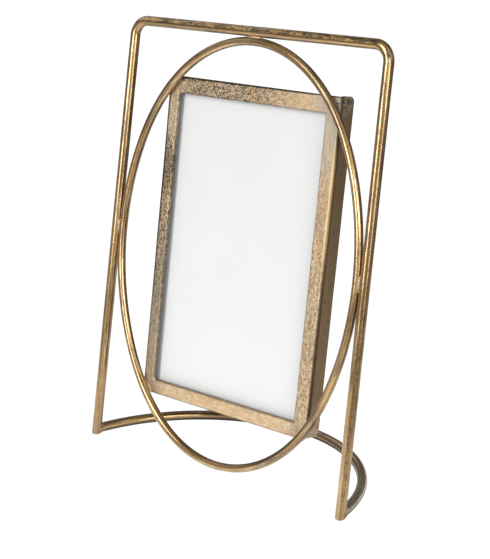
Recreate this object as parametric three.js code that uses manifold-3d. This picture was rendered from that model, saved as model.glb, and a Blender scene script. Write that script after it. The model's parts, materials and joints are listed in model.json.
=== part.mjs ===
// A tabletop picture frame: a leaning hoop stand that carries an oval ring and a picture box.
// Millimetres, +Z up. The frame faces -Y and leans back towards +Y.
import * as THREE from "three";
import { mergeVertices } from "three/addons/utils/BufferGeometryUtils.js";
import Module from "manifold-3d";

// Picture stack: a 4 by 6 inch picture behind glass
const pictureWidth = 101.6;
const pictureHeight = 152.4;
const glassThickness = 1.2;
const cardThickness = 0.6;
const panelThickness = 4.0;
const thumbNotchRadius = 9;
const slideClearance = 0.3;

// Picture box
const bezelSheet = 1.2;
const bezelWidth = 8.1;
const returnSheet = 0.8;
const returnDepth = 2.2;
const bandSheet = 1.0;
const boxCornerRadius = 3.5;
const wallTopRadius = 2.7;
const slotRecess = 1.9;
const wallRise = 0.3;
const lipSheet = 0.8;
const lipWidth = 6;

// Oval ring
const ringRod = 4.0;
const ringSideGap = 20.6;
const ringCornerInset = 3.63;
const ringLift = 2.7;
const boxRise = 2.25;

// Stand
const hoopRod = 4.8;
const bendRadius = 7.5;
const bowDepth = 67.4;
const leanAngle = THREE.MathUtils.degToRad(9);
const leftSplay = THREE.MathUtils.degToRad(1.1);
const rightSplay = THREE.MathUtils.degToRad(0.3);

// Brazed joints: the gap that the braze fills, and the size of a bead
const brazeGap = 0.3;
const rodBeadLength = 11;
const rodBeadWidth = 3.6;
const cornerBeadLength = 14;
const cornerBeadWidth = 5.2;
const cornerBeadDepth = 8;
const cornerBeadCover = 0.5;
const footBeadSize = 4.4;

// Facets of the round forms
const rodSides = 16;
const ringSegments = 72;
const bowSegments = 36;
const bendSegments = 8;
const cornerSegments = 6;
const beadSegments = 16;

// Sizes that follow from the picture: the box round it
const pocketWidth = pictureWidth + 2 * slideClearance;
const boxWidth = pocketWidth + 2 * bandSheet;
const boxHeight = bandSheet + slideClearance + pictureHeight + slotRecess;
const apertureWidth = boxWidth - 2 * bezelWidth;
const apertureHeight = boxHeight - 2 * bezelWidth;
const pocketRadius = Math.max(boxCornerRadius - bandSheet, 0);

// The ring passes over the corners of the box, and the hoop stands round the ring
const ringRadius = ringRod / 2;
const hoopRadius = hoopRod / 2;
const ringHalfWidth = boxWidth / 2 + ringSideGap;
const crossingAngle = Math.acos((boxWidth / 2 - ringCornerInset) / ringHalfWidth);
const ringHalfHeight = (boxHeight / 2 - ringCornerInset) / Math.sin(crossingAngle);
const ringCentre = ringLift + ringRadius + ringHalfHeight;
const boxCentre = ringCentre + boxRise;
const boxBottom = boxCentre - boxHeight / 2;
const boxTop = boxCentre + boxHeight / 2;
const wallTop = boxTop + wallRise;
const stackTop = boxTop - slotRecess;
const rodDistance = ringRadius + brazeGap + hoopRadius;
const barHeight = ringCentre + ringHalfHeight + rodDistance;

// Each leg is a straight line that passes the ring at the rods' distance. Side is -1 on the left, 1 on the right
const splayOf = (side) => (side < 0 ? leftSplay : rightSplay);
const ringReach = (splay) =>
  Math.hypot(ringHalfWidth * Math.cos(splay), ringHalfHeight * Math.sin(splay));
const legSpan = (side, height) =>
  (ringReach(splayOf(side)) + rodDistance) / Math.cos(splayOf(side)) +
  (ringCentre - height) * Math.tan(splayOf(side));
const footHalfSpan = (legSpan(-1, 0) + legSpan(1, 0)) / 2;
const footMiddle = (legSpan(1, 0) - legSpan(-1, 0)) / 2;

// Depths behind the ring's middle plane, from the bezel to the rear lips
const bezelFront = ringRadius + brazeGap;
const bandFront = bezelFront + bezelSheet + brazeGap;
const glassFront = bezelFront + returnDepth + slideClearance;
const cardFront = glassFront + glassThickness + slideClearance;
const panelFront = cardFront + cardThickness + slideClearance;
const lipFront = panelFront + panelThickness + slideClearance;
const boxBack = lipFront + lipSheet;

const wasm = await Module();
wasm.setup();

// A closed geometry as a solid that can be joined and cut
function solid(geometry) {
  const bare = geometry.clone();
  bare.deleteAttribute("normal");
  bare.deleteAttribute("uv");
  const merged = mergeVertices(bare, 1e-4);
  return new wasm.Manifold(
    new wasm.Mesh({
      numProp: 3,
      vertProperties: new Float32Array(merged.attributes.position.array),
      triVerts: new Uint32Array(merged.index.array),
    }),
  );
}

// A solid back as a geometry
function geometryOf(body) {
  const { vertProperties, triVerts } = body.getMesh();
  const geometry = new THREE.BufferGeometry();
  geometry.setAttribute("position", new THREE.BufferAttribute(vertProperties, 3));
  geometry.setIndex(new THREE.BufferAttribute(triVerts, 1));
  geometry.computeVertexNormals();
  return geometry;
}

// A box between two corners
function block(x0, y0, z0, x1, y1, z1) {
  const geometry = new THREE.BoxGeometry(x1 - x0, y1 - y0, z1 - z0);
  return geometry.translate((x0 + x1) / 2, (y0 + y1) / 2, (z0 + z1) / 2);
}

// A rectangle with rounded corners, its middle at the origin
function roundedRectangle(width, height, radius) {
  const x = width / 2;
  const y = height / 2;
  const shape = new THREE.Shape();
  if (radius <= 0) {
    return shape.moveTo(-x, -y).lineTo(x, -y).lineTo(x, y).lineTo(-x, y).closePath();
  }
  shape.moveTo(radius - x, -y);
  shape.absarc(x - radius, radius - y, radius, -Math.PI / 2, 0);
  shape.absarc(x - radius, y - radius, radius, 0, Math.PI / 2);
  shape.absarc(radius - x, y - radius, radius, Math.PI / 2, Math.PI);
  shape.absarc(radius - x, radius - y, radius, Math.PI, 1.5 * Math.PI);
  return shape;
}

// An outline drawn as seen from the front, made into a sheet that runs back from front to back
function sheetBetween(shape, front, back, middle = boxCentre) {
  const geometry = new THREE.ExtrudeGeometry(shape, {
    depth: back - front,
    bevelEnabled: false,
    curveSegments: cornerSegments,
  });
  return geometry.rotateX(Math.PI / 2).translate(0, back, middle);
}

// A path through stations that are set only where the rod bends
class StationPath extends THREE.Curve {
  constructor(stations) {
    super();
    this.stations = stations;
  }
  getPoint(t, target = new THREE.Vector3()) {
    const along = t * (this.stations.length - 1);
    const index = Math.min(Math.floor(along), this.stations.length - 2);
    return target.lerpVectors(this.stations[index], this.stations[index + 1], along - index);
  }
  getUtoTmapping(u) {
    return u;
  }
}

// The oval in the plane of the hoop
class OvalPath extends THREE.Curve {
  getPoint(t, target = new THREE.Vector3()) {
    const angle = 2 * Math.PI * t;
    const across = ringHalfWidth * Math.cos(angle);
    return target.set(across, 0, ringCentre + ringHalfHeight * Math.sin(angle));
  }
}

// The section of a rod, with one of its flats square to the bend
function rodSection(radius) {
  const reach = radius / Math.cos(Math.PI / rodSides);
  const corners = Array.from({ length: rodSides }, (_, side) => {
    const angle = ((side + 0.5) * 2 * Math.PI) / rodSides;
    return new THREE.Vector2(reach * Math.cos(angle), reach * Math.sin(angle));
  });
  return new THREE.Shape(corners);
}

// A round rod along stations
function rod(stations, radius) {
  return new THREE.ExtrudeGeometry(rodSection(radius), {
    steps: stations.length - 1,
    extrudePath: new StationPath(stations),
  });
}

// Points on an arc about a centre, in the plane of two directions
function arcStations(centre, radius, from, to, steps, place) {
  return Array.from({ length: steps + 1 }, (_, step) => {
    const angle = from + ((to - from) * step) / steps;
    return place(centre.x + radius * Math.cos(angle), centre.y + radius * Math.sin(angle));
  });
}

// The hoop's stations: up the left leg, over both bends and down the right leg
function hoopStations(footLevel) {
  const inPlane = (x, z) => new THREE.Vector3(x, 0, z);
  const bendLevel = barHeight - bendRadius;
  const bendCentre = (side) => {
    const inward = bendRadius / Math.cos(splayOf(side));
    return new THREE.Vector2(side * (legSpan(side, bendLevel) - inward), bendLevel);
  };
  const top = Math.PI / 2;
  return [
    inPlane(-legSpan(-1, footLevel), footLevel),
    ...arcStations(bendCentre(-1), bendRadius, Math.PI - leftSplay, top, bendSegments, inPlane),
    ...arcStations(bendCentre(1), bendRadius, top, rightSplay, bendSegments, inPlane),
    inPlane(legSpan(1, footLevel), footLevel),
  ];
}

// The bow's stations on the table: a circular arc from foot to foot
function bowStations() {
  const bowRadius = (footHalfSpan ** 2 + bowDepth ** 2) / (2 * bowDepth);
  const halfAngle = Math.atan2(footHalfSpan, bowRadius - bowDepth);
  const middle = new THREE.Vector2(footMiddle, bowDepth - bowRadius);
  const onTable = (x, y) => new THREE.Vector3(x, y, hoopRadius);
  const back = Math.PI / 2;
  return arcStations(middle, bowRadius, back + halfAngle, back - halfAngle, bowSegments, onTable);
}

// Lean: what is drawn upright in the hoop's plane tips back about the line of the feet
const lean = new THREE.Matrix4().makeRotationX(-leanAngle);
const reach = 4 * (barHeight + bowDepth);
const belowTable = solid(block(-reach, -reach, -reach, reach, reach, 0));

// The rods, and the same rods with the braze gap round them, which the beads are cut to
const footOverrun = 2 * hoopRod;
const hoopAlong = (radius) => rod(hoopStations(-footOverrun), radius).applyMatrix4(lean);
const ringAlong = (radius) =>
  new THREE.TubeGeometry(new OvalPath(), ringSegments, radius, rodSides, true);
const bowAlong = (radius) => rod(bowStations(), radius);

function standHoop() {
  return geometryOf(solid(hoopAlong(hoopRadius)).subtract(belowTable));
}

function baseBow() {
  return geometryOf(solid(bowAlong(hoopRadius)).subtract(solid(hoopAlong(hoopRadius + brazeGap))));
}

// The bezel: a plate with rounded edges, and a return folded back round the aperture
function bezelPlate() {
  const core = roundedRectangle(
    boxWidth - 2 * bezelSheet,
    boxHeight - 2 * bezelSheet,
    Math.max(boxCornerRadius - bezelSheet, 0),
  );
  core.holes.push(roundedRectangle(apertureWidth + 2 * bezelSheet, apertureHeight + 2 * bezelSheet, 0));
  const pillow = new THREE.ExtrudeGeometry(core, {
    depth: returnDepth,
    bevelThickness: bezelSheet,
    bevelSize: bezelSheet,
    bevelSegments: cornerSegments / 2,
    curveSegments: cornerSegments,
  });
  pillow.rotateX(Math.PI / 2).translate(0, bezelFront + bezelSheet + returnDepth, boxCentre);
  const returnBack = bezelFront + returnDepth;
  const behindReturn = solid(block(-boxWidth, returnBack, 0, boxWidth, reach, reach));
  const roundReturn = roundedRectangle(2 * boxWidth, 2 * boxHeight, 0);
  roundReturn.holes.push(
    roundedRectangle(apertureWidth + 2 * returnSheet, apertureHeight + 2 * returnSheet, 0),
  );
  const behindPlate = solid(sheetBetween(roundReturn, bezelFront + bezelSheet, reach));
  return geometryOf(solid(pillow).subtract(behindReturn).subtract(behindPlate));
}

// The side of the box as seen from the right: square but for the rounded upper rear corner
function sideProfile(front, back) {
  const shape = new THREE.Shape();
  shape.moveTo(front, boxBottom);
  shape.lineTo(back, boxBottom);
  shape.lineTo(back, wallTop - wallTopRadius);
  shape.absarc(back - wallTopRadius, wallTop - wallTopRadius, wallTopRadius, 0, Math.PI / 2);
  shape.lineTo(front, wallTop);
  shape.closePath();
  const geometry = new THREE.ExtrudeGeometry(shape, {
    depth: boxWidth,
    bevelEnabled: false,
    curveSegments: cornerSegments,
  });
  geometry.rotateX(Math.PI / 2).rotateZ(Math.PI / 2);
  return solid(geometry.translate(-boxWidth / 2, 0, 0));
}

// The band: sides and bottom of the box, with square upper ends and open at the top for the picture stack
function sideBand() {
  const height = boxHeight + wallRise + boxCornerRadius;
  const outline = roundedRectangle(boxWidth, height, boxCornerRadius);
  outline.holes.push(roundedRectangle(pocketWidth, height - 2 * bandSheet, pocketRadius));
  const loop = solid(sheetBetween(outline, bandFront, boxBack, boxBottom + height / 2));
  const half = pocketWidth / 2;
  const mouth = solid(block(-half, -reach, boxCentre, half, reach, reach));
  return geometryOf(loop.subtract(mouth).intersect(sideProfile(bandFront, boxBack)));
}

// The rear lips: flat strips inside the rear edge of the band
function rearLip(side) {
  const width = pocketWidth - 2 * brazeGap;
  const height = boxHeight - 2 * bandSheet - 2 * brazeGap;
  const radius = Math.max(pocketRadius - brazeGap, 0);
  const outline = roundedRectangle(width, height, radius);
  outline.holes.push(roundedRectangle(width - 2 * lipWidth, height - 2 * lipWidth, 0));
  const strips = solid(sheetBetween(outline, lipFront, boxBack));
  const inner = width / 2 - lipWidth;
  const lipTop = boxTop - Math.max(boxCornerRadius, wallTopRadius);
  const keep = {
    left: block(-boxWidth, 0, 0, -inner, reach, lipTop),
    right: block(inner, 0, 0, boxWidth, reach, lipTop),
    bottom: block(brazeGap - inner, 0, 0, inner - brazeGap, reach, boxCentre),
  };
  return geometryOf(strips.intersect(solid(keep[side])));
}

// Glass, card and panel stand on the bottom of the band, with corners that clear its bends
function stackSheet(front, thickness) {
  const radius = Math.max(pocketRadius - slideClearance, 0);
  const outline = roundedRectangle(pictureWidth, pictureHeight, radius);
  return sheetBetween(outline, front, front + thickness, stackTop - pictureHeight / 2);
}

// The back panel has a half-round thumb notch in its upper edge
function backPanel() {
  const notch = new THREE.CylinderGeometry(thumbNotchRadius, thumbNotchRadius, reach, 4 * cornerSegments);
  const sheet = solid(stackSheet(panelFront, panelThickness));
  return geometryOf(sheet.subtract(solid(notch.translate(0, 0, stackTop))));
}

// A drop of braze: a rounded lump whose long way runs along the rods
function drop(length, width, thickness, turn, x, y, z) {
  const lump = new THREE.SphereGeometry(0.5, beadSegments, beadSegments / 2);
  lump.scale(width, thickness, length);
  return solid(lump.rotateY(turn).translate(x, y, z));
}

// What the beads are cut to, each with the braze gap round it
const hoopWithGap = solid(hoopAlong(hoopRadius + brazeGap).applyMatrix4(lean.clone().invert()));
const ringWithGap = solid(ringAlong(ringRadius + brazeGap));
const boxOutlineWithGap = roundedRectangle(
  boxWidth + 2 * brazeGap,
  boxHeight + 2 * brazeGap,
  boxCornerRadius + brazeGap,
);
const boxWithGap = solid(sheetBetween(boxOutlineWithGap, -cornerBeadDepth, boxBack));
const wallsAndStack = solid(block(-reach, bandFront - brazeGap, boxCentre, reach, reach, reach));

// Beads behind the places where the ring touches the hoop
function rodBead(x, z, turn) {
  const lump = drop(rodBeadLength, rodBeadWidth, ringRod, turn, x, ringRadius, z);
  return geometryOf(lump.subtract(hoopWithGap).subtract(ringWithGap));
}

// The same beside a leg, at the height where the ring is nearest to it
function legBead(side) {
  const splay = splayOf(side);
  const way = new THREE.Vector2(Math.cos(splay), Math.sin(splay));
  const between = new THREE.Vector2(ringHalfWidth ** 2 * way.x, ringHalfHeight ** 2 * way.y)
    .divideScalar(ringReach(splay))
    .addScaledVector(way, ringRadius + brazeGap / 2);
  return rodBead(side * between.x, ringCentre + between.y, -side * splay);
}

// Beads on the outer side of the ring over the corners of the box. The upper two stay in front of the walls
function cornerBead(side, end) {
  const rise = end * (boxHeight / 2 - ringCornerInset) + boxRise;
  const angle = Math.asin(rise / ringHalfHeight);
  const onRing = new THREE.Vector2(ringHalfWidth * Math.cos(angle), ringHalfHeight * Math.sin(angle));
  const normal = new THREE.Vector2(Math.cos(angle) / ringHalfWidth, Math.sin(angle) / ringHalfHeight);
  normal.normalize();
  const bend = new THREE.Vector2(
    boxWidth / 2 - boxCornerRadius,
    end * (boxHeight / 2 - boxCornerRadius) + boxRise,
  );
  const tip = bend.sub(onRing).dot(normal) + boxCornerRadius + brazeGap;
  const width = Math.max(cornerBeadWidth, tip + cornerBeadCover);
  const middle = onRing.addScaledVector(normal, width / 2);
  const turn = -Math.atan2(normal.y, normal.x);
  const behind = cornerBeadDepth / 2;
  const lump = drop(cornerBeadLength, width, cornerBeadDepth, turn, middle.x, behind, ringCentre + middle.y);
  const bead = lump.subtract(ringWithGap).subtract(boxWithGap).subtract(wallsAndStack);
  const geometry = geometryOf(bead);
  return side < 0 ? mirrored(geometry) : geometry;
}

// The same form on the left, with its faces turned to point out again
function mirrored(geometry) {
  const flipped = geometry.clone().scale(-1, 1, 1);
  const index = flipped.index.array;
  for (let i = 0; i < index.length; i += 3) {
    [index[i + 1], index[i + 2]] = [index[i + 2], index[i + 1]];
  }
  flipped.computeVertexNormals();
  return flipped;
}

// Beads in the corner above the bow's ends, behind the legs
function footBead(side) {
  const lump = new THREE.SphereGeometry(footBeadSize / 2, beadSegments, beadSegments / 2);
  const legBack = hoopRadius + hoopRod * Math.tan(leanAngle);
  lump.translate(side * legSpan(side, 0), legBack, hoopRod);
  const bead = solid(lump)
    .subtract(solid(hoopAlong(hoopRadius + brazeGap)))
    .subtract(solid(bowAlong(hoopRadius + brazeGap)));
  return geometryOf(bead);
}

// Finishes
const agedGold = { color: 0xb08d57, roughness: 0.42, metalness: 1 };
const paleGold = { color: 0xc9b48c, roughness: 0.5, metalness: 1 };
const darkBronze = { color: 0x6f5f4b, roughness: 0.55, metalness: 1 };
const brazeMetal = { color: 0xa8946c, roughness: 0.55, metalness: 1 };
const clearGlass = { color: 0xf4f8f6, roughness: 0.05, metalness: 0, transparent: true, opacity: 0.25 };
const whiteCard = { color: 0xf2f2f0, roughness: 0.8, metalness: 0 };
const hardboard = { color: 0x3c3e42, roughness: 0.85, metalness: 0 };

function piece(name, geometry, finish) {
  const mesh = new THREE.Mesh(geometry, new THREE.MeshStandardMaterial(finish));
  mesh.name = name;
  return mesh;
}

// What is drawn upright and leans with the hoop
const leaning = new THREE.Group();
leaning.rotation.x = -leanAngle;
leaning.add(
  piece("oval_ring", ringAlong(ringRadius), agedGold),
  piece("bezel_plate", bezelPlate(), paleGold),
  piece("side_band", sideBand(), darkBronze),
  piece("rear_lip_left", rearLip("left"), darkBronze),
  piece("rear_lip_right", rearLip("right"), darkBronze),
  piece("rear_lip_bottom", rearLip("bottom"), darkBronze),
  piece("glass_pane", stackSheet(glassFront, glassThickness), clearGlass),
  piece("photo_card", stackSheet(cardFront, cardThickness), whiteCard),
  piece("back_panel", backPanel(), hardboard),
  piece("weld_ring_top", rodBead(0, barHeight - hoopRadius - brazeGap / 2, Math.PI / 2), brazeMetal),
  piece("weld_ring_left", legBead(-1), brazeMetal),
  piece("weld_ring_right", legBead(1), brazeMetal),
  piece("weld_corner_top_left", cornerBead(-1, 1), brazeMetal),
  piece("weld_corner_top_right", cornerBead(1, 1), brazeMetal),
  piece("weld_corner_bottom_left", cornerBead(-1, -1), brazeMetal),
  piece("weld_corner_bottom_right", cornerBead(1, -1), brazeMetal),
);

// What stands on the table
const frame = new THREE.Group();
frame.add(
  leaning,
  piece("stand_hoop", standHoop(), agedGold),
  piece("base_arc", baseBow(), agedGold),
  piece("weld_foot_left", footBead(-1), brazeMetal),
  piece("weld_foot_right", footBead(1), brazeMetal),
);

// The origin is on the table, under the middle of the frame's box
const footprint = new THREE.Box3().setFromObject(frame, true);
const middle = footprint.getCenter(new THREE.Vector3());
frame.position.set(-middle.x, -middle.y, 0);

const pictureFrame = new THREE.Group();
pictureFrame.add(frame);

export default pictureFrame;
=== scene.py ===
import json
import math

import bpy
import numpy as np
from mathutils import Matrix, Vector


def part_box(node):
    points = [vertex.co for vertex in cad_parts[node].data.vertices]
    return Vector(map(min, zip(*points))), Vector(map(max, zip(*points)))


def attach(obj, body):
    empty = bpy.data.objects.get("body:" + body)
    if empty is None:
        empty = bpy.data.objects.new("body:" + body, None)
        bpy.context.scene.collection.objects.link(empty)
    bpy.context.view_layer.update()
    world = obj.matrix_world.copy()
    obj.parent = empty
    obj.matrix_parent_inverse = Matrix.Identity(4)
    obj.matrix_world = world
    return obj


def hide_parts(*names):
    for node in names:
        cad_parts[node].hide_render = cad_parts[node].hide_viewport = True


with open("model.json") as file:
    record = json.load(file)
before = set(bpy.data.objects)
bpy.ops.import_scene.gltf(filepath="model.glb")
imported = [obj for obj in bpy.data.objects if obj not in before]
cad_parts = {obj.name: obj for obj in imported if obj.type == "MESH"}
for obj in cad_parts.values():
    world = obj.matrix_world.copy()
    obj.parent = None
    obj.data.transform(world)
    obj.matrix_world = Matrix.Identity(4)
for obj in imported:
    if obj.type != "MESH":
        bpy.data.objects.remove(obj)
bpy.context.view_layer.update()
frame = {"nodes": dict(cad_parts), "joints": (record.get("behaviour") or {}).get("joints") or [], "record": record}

scene = bpy.context.scene

# Sizes in metres that the frame's boxes don't give
MM = 0.001
BRAZE_GAP = 0.3 * MM
BEND_RADIUS = 7.5 * MM
FOOT_ROUNDING = 0.6 * MM
BOW_END_GAP = 0.4 * MM
BEZEL_WIDTH = 8.1 * MM
LEFT_RAIL = 6.9 * MM
BOTTOM_RAIL = 7.1 * MM
BEZEL_SHEET = 1.2 * MM
RETURN_SHEET = 0.8 * MM
INNER_CORNER = 0.5 * MM
BOX_CORNER = 3.5 * MM
FILLED_CORNER = 0.9 * MM
WORN_CORNER = 4.6 * MM
LEFT_WALL_DROP = 1.5 * MM
BAND_SHEET = 1.0 * MM
BAND_EDGE = 0.22 * MM
REAR_FOLD = 0.9 * MM
SEAM_FILL = 0.25 * MM
WALL_DENT = 0.08 * MM
BEZEL_DENT = 0.09 * MM
WALL_TOP_RADIUS = 2.7 * MM
LIP_EDGE = 0.15 * MM
GLASS_EDGE = 0.25 * MM
CARD_EDGE = 0.05 * MM
PANEL_EDGE = 0.2 * MM

# How far the legs lean in, in degrees
LEFT_SPLAY = 1.1
RIGHT_SPLAY = 0.3

# Where the hand-bent ring leaves an ellipse: angle from the right, spread in degrees, and how far out
RING_BENDS = ((50, 30, 1.35 * MM), (134, 24, 1.1 * MM), (208, 18, -0.5 * MM), (310, 25, 1.3 * MM))

# How fine and how even the round forms are
ROD_SIDES = 28
ROD_STEP = 2.0 * MM
ROD_UNEVEN = 0.012
RING_STATIONS = 260
BOW_STATIONS = 120
LEG_STATIONS = 160
BEND_STEPS = 24
CORNER_STEPS = 10
FOOT_STEPS = 5
FOLD_STEPS = 7
EDGE_STEPS = 6
RAIL_STEPS = 11
WALL_STEPS = 10
SHARP_ANGLE = 55
BEVEL_ANGLE = 40
BEAD_STEP = 0.25 * MM
BEAD_SKIN = 0.7 * MM
BEAD_SUNK = 0.18 * MM
BEAD_LUMPS = 0.08

# How fast the hand-made unevenness changes along each way, in radians a metre
ROD_RIPPLE = 90
BEZEL_RIPPLE = (110, 420)
WALL_RIPPLE = (100, 500)
BEAD_RIPPLE = (1100, 900, 1200)

# How far the braze reaches out of the hollows it fills, and how it fades; -1 is left and 1 is right
ROD_BEAD = 2.6 * MM
UPPER_BEAD = {-1: 0.9 * MM, 1: 1.6 * MM}
LOWER_BEAD = {-1: 3.0 * MM, 1: 4.2 * MM}
FOOT_BEAD = 4.2 * MM
FLOOR_GAP = 0.02 * MM
BEAD_FADE = (1.3, 1.5)
BEAD_END = 0.9

# Half the size of the space that each bead is made in, and the stretch of a leg at its foot
BAR_SPACE = np.array((8, 3.5, 3.5)) * MM
LEG_SPACE = np.array((3.5, 3.5, 8)) * MM
UPPER_SPACE = np.array((6.5, 4.5, 6.5)) * MM
LOWER_SPACE = np.array((9, 7, 9)) * MM
FOOT_SPACE = np.array((4.5, 7, 7)) * MM
LEG_STRETCH = (-10 * MM, 30 * MM)

# Marks on the hoop: the stripe's turn from outside to front, its start, and lines in shares of the radius for the
# painted highlight and the painted dark reflection along the top bar and its upper side
STRIPE_TURN = math.radians(48)
STRIPE_START = 372 * MM
STRIPE_EDGE = (0.90, 0.965)
BAR_HIGHLIGHT_LINE = (-0.62, -0.42, -0.3, -0.2)
BAR_DARK_REFLECTION_LINE = (-0.28, -0.18, -0.08, 0.06)
UPPER_SIDE = (-0.1, 0.15)

# Where the wear, the painted shade and the painted highlight on the bezel and the bow fade, across from the middle
LEFT_FADE = (-46 * MM, -36 * MM)
RIGHT_FADE = (38 * MM, 46 * MM)
HAZE_FADE = (32 * MM, 46 * MM)
CREST_FADE = (34 * MM, 41 * MM)
RAIL_HIGHLIGHT_FADE = (44 * MM, 46 * MM)
BLOOM_FADE = (58 * MM, 72 * MM)

# Where the wear, the darker grey, the dark rim and the painted highlight on the bezel fade, in heights above the
# table
SPECKLE_HEIGHTS = (70 * MM, 215 * MM)
RIGHT_HEIGHTS = (60 * MM, 150 * MM)
SMUDGE_HEIGHT = 137 * MM
BLEACH_HEIGHTS = (148 * MM, 158 * MM)
LOWER_GREY_HEIGHTS = (75 * MM, 125 * MM)
RIM_HEIGHTS = (50 * MM, 110 * MM)
RAIL_HIGHLIGHT_HEIGHTS = (92 * MM, 122 * MM, 150 * MM, 166 * MM)

# The camera that took the photograph, in degrees, metres and pixels of its 490 by 559 frame
CAMERA_YAW = 41.753
CAMERA_PITCH = 16.055
CAMERA_ROLL = -0.433
CAMERA_DISTANCE = 720.147 * MM
CAMERA_TARGET = Vector((0.74 * MM, -18.485 * MM, 100 * MM))
CAMERA_SLIDE = (6.760 * MM, -7.091 * MM)
FOCAL_PIXELS = 1550
LONG_SIDE_PIXELS = 559
SENSOR_WIDTH = 36
CLIP_START = 10 * MM

# The room: the ways to its lighter half and the table's, its colours, the white that is seen, the floor
ROOM_FRONT = Vector((0.62, -0.72, -0.05))
FLOOR_FRONT = Vector((-0.26, -0.97, 0))
ROOM_DARK = (0.15, 0.142, 0.132)
ROOM_LIGHT = (0.39, 0.38, 0.365)
BACKDROP_WHITE = 1.08
FLOOR_HALF = 6.0

# The lamps: degrees from the front and up, metres away, width and height in metres, watts and colour
LAMP_TARGET = Vector((0, 0, 0.1))
WHITE = (1, 1, 1)
WARM_WHITE = (1.0, 0.98, 0.95)
MILD_WHITE = (1.0, 0.99, 0.97)
LAMPS = {
    "key": (-7, 24, 1.0, (0.38, 0.85), 6.0, WARM_WHITE),
    "fill": (70, 12, 1.1, (0.28, 0.66), 2.6, WARM_WHITE),
    "front": (50, 20, 1.3, (0.55, 0.36), 2.9, MILD_WHITE),
    "side": (90, 39, 1.2, (0.45, 0.75), 1.6, MILD_WHITE),
    "wall": (-88, 38, 1.3, (1.9, 0.70), 1.7, WHITE),
}

# The leaning plane: across, behind and up, from the point between the feet that is under the picture
ACROSS = Vector((1, 0, 0))
UPWARD = Vector(frame["joints"][0]["axis"]).normalized()
REARWARD = UPWARD.cross(ACROSS)
feet = [Vector(mount["pos_m"]) for mount in frame["record"]["mounts"]]
left_foot, right_foot = sorted(feet, key=lambda foot: foot.x)
pane_low, pane_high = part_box("glass_pane")
FEET = Vector(((pane_low.x + pane_high.x) / 2, right_foot.y, 0))
LEANING = np.array([ACROSS, REARWARD, UPWARD])


def place(x, n, s):
    """Points of the scene, given across, behind and up the leaning plane."""
    x, n, s = np.broadcast_arrays(x, n, s)
    return np.array(FEET) + np.stack([x, n, s], -1) @ LEANING


def leaning(points):
    """The other way round: points of the scene, measured across, behind and up the leaning plane."""
    return (points - np.array(FEET)) @ LEANING.T


def lengths(vectors):
    return np.linalg.norm(vectors, axis=-1)


def leaning_box(node):
    """The lowest and highest corner of a CAD node, measured in the leaning plane."""
    points = np.array([vertex.co for vertex in frame["nodes"][node].data.vertices])
    local = leaning(points)
    return local.min(0), local.max(0)


# Sizes read from the frame
ring_low, ring_high = leaning_box("oval_ring")
ring_radius = (ring_high[1] - ring_low[1]) / 2
ring_half_width = (ring_high[0] - ring_low[0]) / 2 - ring_radius
ring_half_height = (ring_high[2] - ring_low[2]) / 2 - ring_radius
ring_centre = (ring_high[2] + ring_low[2]) / 2
bow_low, bow_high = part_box("base_arc")
hoop_radius = (bow_high.z - bow_low.z) / 2
bow_depth = bow_high.y - hoop_radius - FEET.y
BOW_HALF_SPAN = (right_foot.x - left_foot.x) / 2
BOW_RADIUS = (BOW_HALF_SPAN ** 2 + bow_depth ** 2) / (2 * bow_depth)
BOW_CENTRE = Vector((0, FEET.y + bow_depth - BOW_RADIUS, 0))
bar_height = leaning_box("stand_hoop")[1][2] - hoop_radius
bezel_low, bezel_high = leaning_box("bezel_plate")
band_low, band_high = leaning_box("side_band")
box_half_width = bezel_high[0]
box_bottom, box_top = bezel_low[2], bezel_high[2]
box_middle = (box_bottom + box_top) / 2
box_half_height = (box_top - box_bottom) / 2
bezel_front, return_back = bezel_low[1], bezel_high[1]
band_front, box_back = band_low[1] - SEAM_FILL, band_high[1]
wall_top = band_high[2]
TOP_BAR = float(place(0, 0, bar_height)[2])
TOP_RAIL = float(place(0, bezel_front, box_top - BEZEL_WIDTH)[2])
splay = {-1: math.radians(LEFT_SPLAY), 1: math.radians(RIGHT_SPLAY)}
foot_span = {-1: FEET.x - left_foot.x, 1: right_foot.x - FEET.x}


def leg_span(side, s):
    """How far a leg's middle is from the picture's middle, at a height up the plane."""
    return foot_span[side] - s * math.tan(splay[side])


def ripple(*coordinates):
    """A smooth uneven value from -1 to 1 for hand-made surfaces, the same in each run."""
    waves = ((1.0, 0.3), (1.7, 2.1), (2.9, 4.4))
    total = 0
    for speed, start in waves:
        phase = start
        for order, coordinate in enumerate(coordinates):
            phase = phase + coordinate * speed * (1 + 0.37 * order)
        total = total + np.sin(phase) / speed
    return total / sum(1 / speed for speed, _ in waves)


def fillet(radius, steps):
    """How far the points of a quarter round are from its two straight sides."""
    turn = np.linspace(0, math.pi / 2, steps)
    return radius * (1 - np.cos(turn)), radius * (1 - np.sin(turn))


# Meshes
def new_piece(name, points, faces, marks=None, mark_name=None):
    """A smooth mesh object, with a vector for each face corner if its texture follows the form."""
    mesh = bpy.data.meshes.new(name)
    mesh.from_pydata([tuple(point) for point in points], [], faces)
    mesh.shade_smooth()
    mesh.set_sharp_from_angle(angle=math.radians(SHARP_ANGLE))
    if marks is not None:
        attribute = mesh.attributes.new(mark_name, "FLOAT_VECTOR", "CORNER")
        attribute.data.foreach_set("vector", np.asarray(marks, np.float32).ravel())
    piece = bpy.data.objects.new(name, mesh)
    scene.collection.objects.link(piece)
    return piece


def grid(rows, columns, rows_close):
    """Quads over rows of points that close on themselves, and each quad's corners as row and column."""
    quads = []
    corners = []
    for row in range(rows if rows_close else rows - 1):
        for column in range(columns):
            steps = ((row, column), (row + 1, column), (row + 1, column + 1), (row, column + 1))
            quads.append([(r % rows) * columns + c % columns for r, c in steps])
            corners.extend(steps)
    return quads, np.array(corners)


def capped(quads, corners, rows, columns):
    """The same quads with a flat face at each end."""
    first = list(range(columns))
    last = [(rows - 1) * columns + column for column in range(columns)]
    ends = [(0, column) for column in first] + [(rows - 1, column) for column in reversed(first)]
    return quads + [first, last[::-1]], np.vstack([corners, np.array(ends)])


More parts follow.
